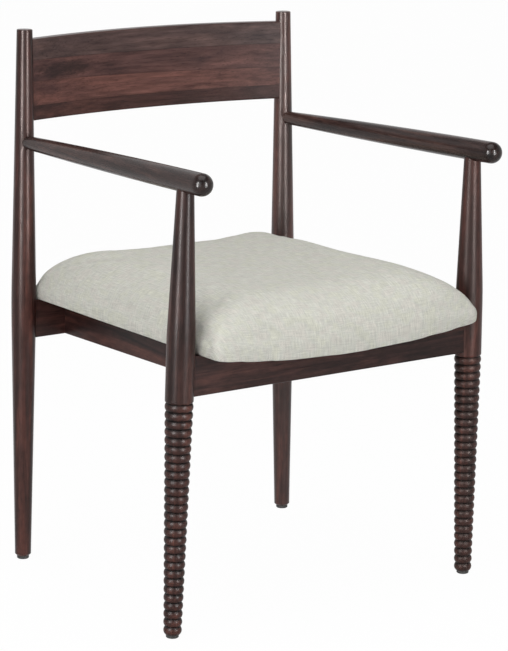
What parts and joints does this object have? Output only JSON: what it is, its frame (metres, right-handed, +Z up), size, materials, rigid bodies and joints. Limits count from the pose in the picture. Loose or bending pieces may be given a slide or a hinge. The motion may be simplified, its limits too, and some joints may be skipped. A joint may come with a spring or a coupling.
{
  "type": "dining armchair",
  "caption": "Wooden dining armchair with ring-turned front legs, tapered rear posts, a bowed crest rail, slim round arms and a dished upholstered seat.",
  "frame": {"origin": "on the floor, under the centre of the chair's box", "axes": "+Z up, the front faces -Y, +X to the sitter's left"},
  "size_m": [0.571, 0.533, 0.813],
  "materials": {
    "stained_wood": "dark espresso stain under satin lacquer, grain showing through",
    "plain_wood": "bare hardwood",
    "plywood": "bare bent plywood",
    "seat_cloth": "oatmeal linen-like plain weave",
    "foam": "open-cell foam",
    "lining_cloth": "thin spun-bonded lining",
    "zinc_steel": "zinc-plated",
    "glide_plastic": "matt"
  },
  "bodies": {
    "root": {"arm_left": "stained_wood", "arm_right": "stained_wood", "corner_block_front_left": "plain_wood", "corner_block_front_right": "plain_wood", "corner_block_rear_left": "plain_wood", "corner_block_rear_right": "plain_wood", "corner_block_screws": "zinc_steel", "crest_dowels": "plain_wood", "crest_rail": "stained_wood", "dust_cover": "lining_cloth", "dust_cover_staples": "zinc_steel", "front_leg_left": "stained_wood", "front_leg_right": "stained_wood", "front_rail": "stained_wood", "front_rail_dowels": "plain_wood", "glide_front_left": "glide_plastic", "glide_front_right": "glide_plastic", "glide_rear_left": "glide_plastic", "glide_rear_right": "glide_plastic", "rear_post_left": "stained_wood", "rear_post_right": "stained_wood", "rear_rail": "stained_wood", "rear_rail_dowels": "plain_wood", "seat_base": "plywood", "seat_cover": "seat_cloth", "seat_foam": "foam", "seat_screws": "zinc_steel", "side_rail_dowels": "plain_wood", "side_rail_left": "stained_wood", "side_rail_right": "stained_wood"}
  },
  "joints": []
}
